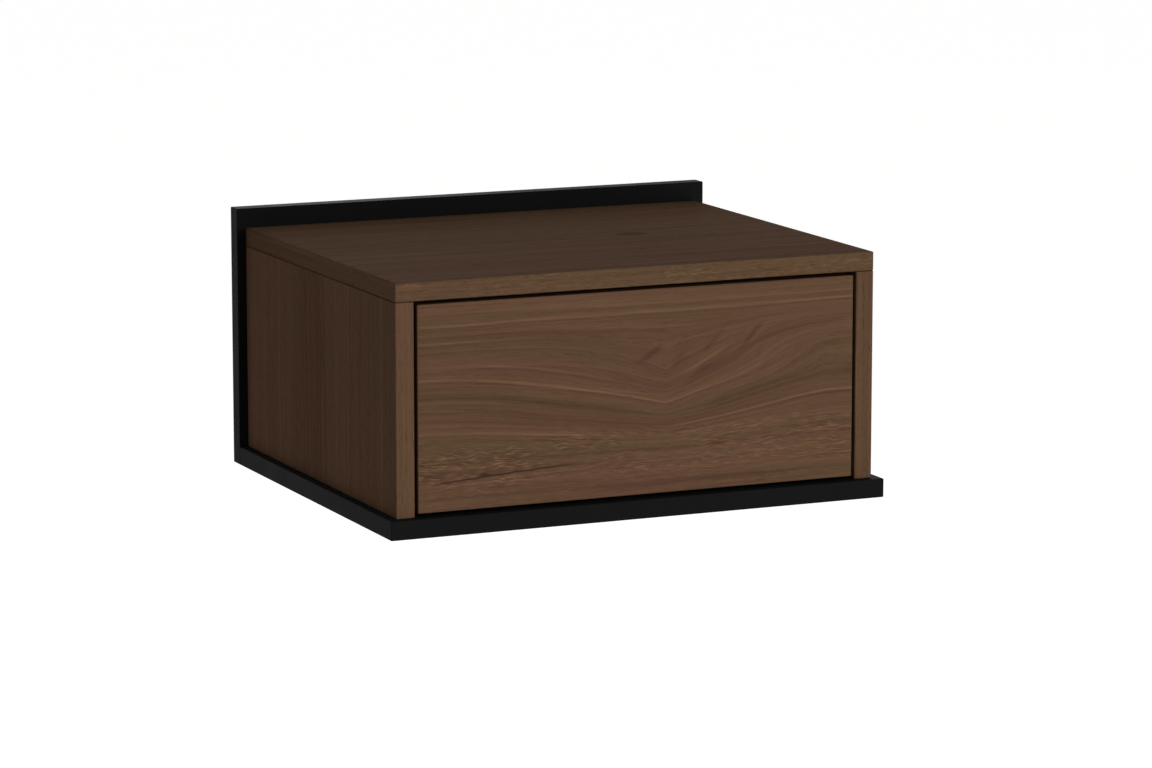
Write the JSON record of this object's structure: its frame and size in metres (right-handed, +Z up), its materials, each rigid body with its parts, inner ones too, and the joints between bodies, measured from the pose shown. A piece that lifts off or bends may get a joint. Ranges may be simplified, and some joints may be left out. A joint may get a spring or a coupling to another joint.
{
  "type": "floating nightstand",
  "caption": "Wall-hung nightstand: a walnut box with one inset push-to-open drawer on ball bearing slides, carried by a black frame of a back panel and a base panel.",
  "frame": {"origin": "on the wall face of the back panel, midway between the two keyhole plates, 170 mm above the underside", "axes": "+Z up, -Y to the front of the nightstand, +Y into the wall, +X to the right seen from the front"},
  "size_m": [0.45, 0.374, 0.227],
  "materials": {
    "walnut": "satin walnut decor with fine open pores",
    "black_board": "matt black laminate",
    "drawer_board": "matt graphite laminate",
    "hardboard": "painted hardboard",
    "zinc_steel": "bright zinc plated sheet steel",
    "zinc_hardware": "zinc plated fasteners",
    "bearing_steel": "polished balls in a plain steel cage",
    "spring_steel": "drawn spring wire",
    "black_plastic": "moulded black plastic",
    "grey_plastic": "moulded grey plastic"
  },
  "bodies": {
    "carcass": {"back_panel": "black_board", "base_panel": "black_board", "top_panel": "walnut", "side_panel_left": "walnut", "side_panel_right": "walnut", "base_screw_left_front": "zinc_hardware", "base_screw_left_rear": "zinc_hardware", "base_screw_right_front": "zinc_hardware", "base_screw_right_rear": "zinc_hardware", "back_screw_left_lower": "zinc_hardware", "back_screw_left_upper": "zinc_hardware", "back_screw_right_lower": "zinc_hardware", "back_screw_right_upper": "zinc_hardware", "cam_lock_left_front": "zinc_hardware", "cam_lock_left_rear": "zinc_hardware", "cam_lock_right_front": "zinc_hardware", "cam_lock_right_rear": "zinc_hardware", "cam_bolt_left_front": "zinc_hardware", "cam_bolt_left_rear": "zinc_hardware", "cam_bolt_right_front": "zinc_hardware", "cam_bolt_right_rear": "zinc_hardware", "keyhole_plate_left": "zinc_steel", "keyhole_plate_right": "zinc_steel", "keyhole_screw_left_upper": "zinc_hardware", "keyhole_screw_left_lower": "zinc_hardware", "keyhole_screw_right_upper": "zinc_hardware", "keyhole_screw_right_lower": "zinc_hardware", "slide_cabinet_member_left": "zinc_steel", "slide_cabinet_member_right": "zinc_steel", "slide_cabinet_screw_left_front": "zinc_hardware", "slide_cabinet_screw_left_rear": "zinc_hardware", "slide_cabinet_screw_right_front": "zinc_hardware", "slide_cabinet_screw_right_rear": "zinc_hardware", "latch_housing": "grey_plastic", "latch_screw_left": "zinc_hardware", "latch_screw_right": "zinc_hardware", "latch_spring": "spring_steel"},
    "drawer": {"drawer_front": "walnut", "drawer_side_left": "drawer_board", "drawer_side_right": "drawer_board", "drawer_back": "drawer_board", "drawer_bottom": "hardboard", "latch_strike_plate": "zinc_steel", "slide_drawer_member_left": "zinc_steel", "slide_drawer_member_right": "zinc_steel", "slide_drawer_screw_left_front": "zinc_hardware", "slide_drawer_screw_left_rear": "zinc_hardware", "slide_drawer_screw_right_front": "zinc_hardware", "slide_drawer_screw_right_rear": "zinc_hardware"},
    "latch_plunger": {"latch_plunger": "grey_plastic", "latch_plunger_tip": "zinc_steel"},
    "slide_middle_member_left": {"slide_middle_member_left": "zinc_steel"},
    "slide_middle_member_right": {"slide_middle_member_right": "zinc_steel"},
    "slide_outer_ball_cage_left": {"slide_outer_ball_cage_left": "bearing_steel"},
    "slide_outer_ball_cage_right": {"slide_outer_ball_cage_right": "bearing_steel"},
    "slide_inner_ball_cage_left": {"slide_inner_ball_cage_left": "bearing_steel"},
    "slide_inner_ball_cage_right": {"slide_inner_ball_cage_right": "bearing_steel"},
    "slide_release_lever_left": {"slide_release_lever_left": "black_plastic"},
    "slide_release_lever_right": {"slide_release_lever_right": "black_plastic"}
  },
  "joints": [
    {"name": "drawer_slide", "type": "slide", "parent": "carcass", "child": "drawer", "axis": [0, -1, 0], "range_m": [-0.003, 0.3]},
    {"name": "outer_ball_cage_left_slide", "type": "slide", "parent": "carcass", "child": "slide_outer_ball_cage_left", "axis": [0, -1, 0], "range_m": [-0.00075, 0.075]},
    {"name": "middle_member_left_slide", "type": "slide", "parent": "carcass", "child": "slide_middle_member_left", "axis": [0, -1, 0], "range_m": [-0.0015, 0.15]},
    {"name": "inner_ball_cage_left_slide", "type": "slide", "parent": "carcass", "child": "slide_inner_ball_cage_left", "axis": [0, -1, 0], "range_m": [-0.00225, 0.225]},
    {"name": "outer_ball_cage_right_slide", "type": "slide", "parent": "carcass", "child": "slide_outer_ball_cage_right", "axis": [0, -1, 0], "range_m": [-0.00075, 0.075]},
    {"name": "middle_member_right_slide", "type": "slide", "parent": "carcass", "child": "slide_middle_member_right", "axis": [0, -1, 0], "range_m": [-0.0015, 0.15]},
    {"name": "inner_ball_cage_right_slide", "type": "slide", "parent": "carcass", "child": "slide_inner_ball_cage_right", "axis": [0, -1, 0], "range_m": [-0.00225, 0.225]},
    {"name": "latch_plunger_slide", "type": "slide", "parent": "carcass", "child": "latch_plunger", "axis": [0, -1, 0], "range_m": [-0.0004, 0.04], "deforming": ["latch_spring"]},
    {"name": "release_lever_left_press", "type": "hinge", "parent": "drawer", "child": "slide_release_lever_left", "pos_m": [-0.191, -0.2397, -0.094], "axis": [1, 0, 0], "range_deg": [0, 8], "stiffness_Nm_per_rad": 0.02},
    {"name": "release_lever_right_press", "type": "hinge", "parent": "drawer", "child": "slide_release_lever_right", "pos_m": [0.191, -0.2397, -0.094], "axis": [-1, 0, 0], "range_deg": [0, 8], "stiffness_Nm_per_rad": 0.02}
  ],
  "couplings": [
    {"joint": "outer_ball_cage_left_slide", "follows": "drawer_slide", "ratio": 0.25},
    {"joint": "middle_member_left_slide", "follows": "drawer_slide", "ratio": 0.5},
    {"joint": "inner_ball_cage_left_slide", "follows": "drawer_slide", "ratio": 0.75},
    {"joint": "outer_ball_cage_right_slide", "follows": "drawer_slide", "ratio": 0.25},
    {"joint": "middle_member_right_slide", "follows": "drawer_slide", "ratio": 0.5},
    {"joint": "inner_ball_cage_right_slide", "follows": "drawer_slide", "ratio": 0.75},
    {"joint": "latch_plunger_slide", "follows": "drawer_slide", "ratio": 0.1333}
  ]
}
